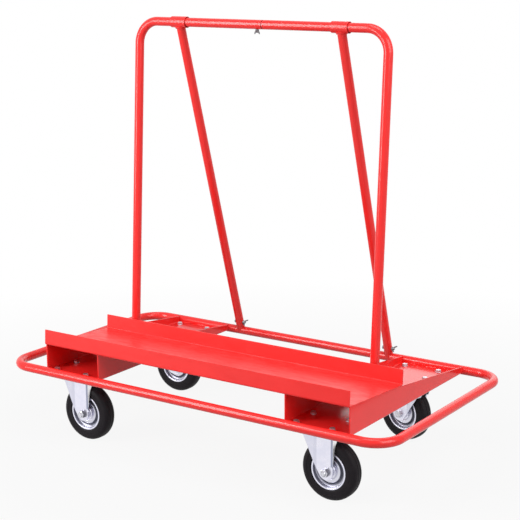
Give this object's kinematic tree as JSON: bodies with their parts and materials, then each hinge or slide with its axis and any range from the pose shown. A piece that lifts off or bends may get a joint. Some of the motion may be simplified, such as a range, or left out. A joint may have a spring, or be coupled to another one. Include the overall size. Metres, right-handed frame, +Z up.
{
  "type": "drywall cart",
  "caption": "Low cart for sheet material: tube bumper loop on swivel casters, tilted lipped tray and a leaning braced tube frame to stack boards against.",
  "frame": {"origin": "on the floor, under the middle of the bumper loop", "axes": "+X along the cart, +Y from the loading side to the brace side, +Z up"},
  "size_m": [1.245, 0.669, 1.1667],
  "materials": {
    "red_paint": "gloss powder coat",
    "zinc_plate": "bright zinc plate",
    "zinc_bolt": "zinc plate",
    "dark_fastener": "dull dark steel",
    "rim_steel": "bright zinc plate",
    "tyre_rubber": "solid black rubber"
  },
  "bodies": {
    "frame": {"bumper_rail_left": "red_paint", "bumper_rail_right": "red_paint", "cross_channel_left": "red_paint", "cross_channel_right": "red_paint", "tray": "red_paint", "post_socket_left": "red_paint", "post_socket_right": "red_paint", "brace_peg_left": "red_paint", "brace_peg_right": "red_paint", "upright_left": "red_paint", "upright_right": "red_paint", "splice_sleeve": "zinc_plate", "splice_bolt": "dark_fastener", "brace_left": "red_paint", "brace_right": "red_paint", "brace_collar_left": "red_paint", "brace_collar_right": "red_paint", "brace_bolt_left": "dark_fastener", "brace_bolt_right": "dark_fastener", "caster_mount_bolts": "zinc_bolt", "caster_mount_washers": "zinc_bolt", "caster_mount_nuts": "zinc_bolt", "caster_plate_front_right": "zinc_plate", "kingpin_front_right": "zinc_plate", "caster_plate_front_left": "zinc_plate", "kingpin_front_left": "zinc_plate", "caster_plate_rear_right": "zinc_plate", "kingpin_rear_right": "zinc_plate", "caster_plate_rear_left": "zinc_plate", "kingpin_rear_left": "zinc_plate"},
    "swivel_front_right": {"fork_front_right": "zinc_plate", "axle_bolt_front_right": "zinc_bolt", "axle_nut_front_right": "zinc_bolt", "axle_spacer_front_right": "zinc_plate"},
    "wheel_front_right": {"rim_front_right": "rim_steel", "tyre_front_right": "tyre_rubber"},
    "swivel_front_left": {"fork_front_left": "zinc_plate", "axle_bolt_front_left": "zinc_bolt", "axle_nut_front_left": "zinc_bolt", "axle_spacer_front_left": "zinc_plate"},
    "wheel_front_left": {"rim_front_left": "rim_steel", "tyre_front_left": "tyre_rubber"},
    "swivel_rear_right": {"fork_rear_right": "zinc_plate", "axle_bolt_rear_right": "zinc_bolt", "axle_nut_rear_right": "zinc_bolt", "axle_spacer_rear_right": "zinc_plate"},
    "wheel_rear_right": {"rim_rear_right": "rim_steel", "tyre_rear_right": "tyre_rubber"},
    "swivel_rear_left": {"fork_rear_left": "zinc_plate", "axle_bolt_rear_left": "zinc_bolt", "axle_nut_rear_left": "zinc_bolt", "axle_spacer_rear_left": "zinc_plate"},
    "wheel_rear_left": {"rim_rear_left": "rim_steel", "tyre_rear_left": "tyre_rubber"},
    "wing_nut_top": {"splice_wing_nut": "dark_fastener"},
    "wing_nut_left": {"brace_wing_nut_left": "dark_fastener"},
    "wing_nut_right": {"brace_wing_nut_right": "dark_fastener"}
  },
  "joints": [
    {"name": "caster_swivel_front_right", "type": "hinge", "parent": "frame", "child": "swivel_front_right", "pos_m": [0.384, -0.242, 0.178], "axis": [0, 0, 1], "continuous": true},
    {"name": "wheel_spin_front_right", "type": "hinge", "parent": "swivel_front_right", "child": "wheel_front_right", "pos_m": [0.412, -0.242, 0.08], "axis": [0, 1, 0], "continuous": true},
    {"name": "caster_swivel_front_left", "type": "hinge", "parent": "frame", "child": "swivel_front_left", "pos_m": [-0.414, -0.242, 0.178], "axis": [0, 0, 1], "continuous": true},
    {"name": "wheel_spin_front_left", "type": "hinge", "parent": "swivel_front_left", "child": "wheel_front_left", "pos_m": [-0.386, -0.242, 0.08], "axis": [0, 1, 0], "continuous": true},
    {"name": "caster_swivel_rear_right", "type": "hinge", "parent": "frame", "child": "swivel_rear_right", "pos_m": [0.384, 0.242, 0.178], "axis": [0, 0, 1], "continuous": true},
    {"name": "wheel_spin_rear_right", "type": "hinge", "parent": "swivel_rear_right", "child": "wheel_rear_right", "pos_m": [0.35642, 0.24686, 0.08], "axis": [0.1736, 0.9848, 0], "continuous": true},
    {"name": "caster_swivel_rear_left", "type": "hinge", "parent": "frame", "child": "swivel_rear_left", "pos_m": [-0.414, 0.242, 0.178], "axis": [0, 0, 1], "continuous": true},
    {"name": "wheel_spin_rear_left", "type": "hinge", "parent": "swivel_rear_left", "child": "wheel_rear_left", "pos_m": [-0.442, 0.242, 0.08], "axis": [0, 1, 0], "continuous": true},
    {"name": "splice_wing_nut_turn", "type": "hinge", "parent": "frame", "child": "wing_nut_top", "pos_m": [0, 0.04087, 1.15123], "axis": [0, 0.061, 0.9981], "continuous": true},
    {"name": "brace_wing_nut_turn_left", "type": "hinge", "parent": "frame", "child": "wing_nut_left", "pos_m": [-0.259, 0.31347, 0.23176], "axis": [1, 0, 0], "continuous": true},
    {"name": "brace_wing_nut_turn_right", "type": "hinge", "parent": "frame", "child": "wing_nut_right", "pos_m": [0.259, 0.31347, 0.23176], "axis": [1, 0, 0], "continuous": true}
  ]
}
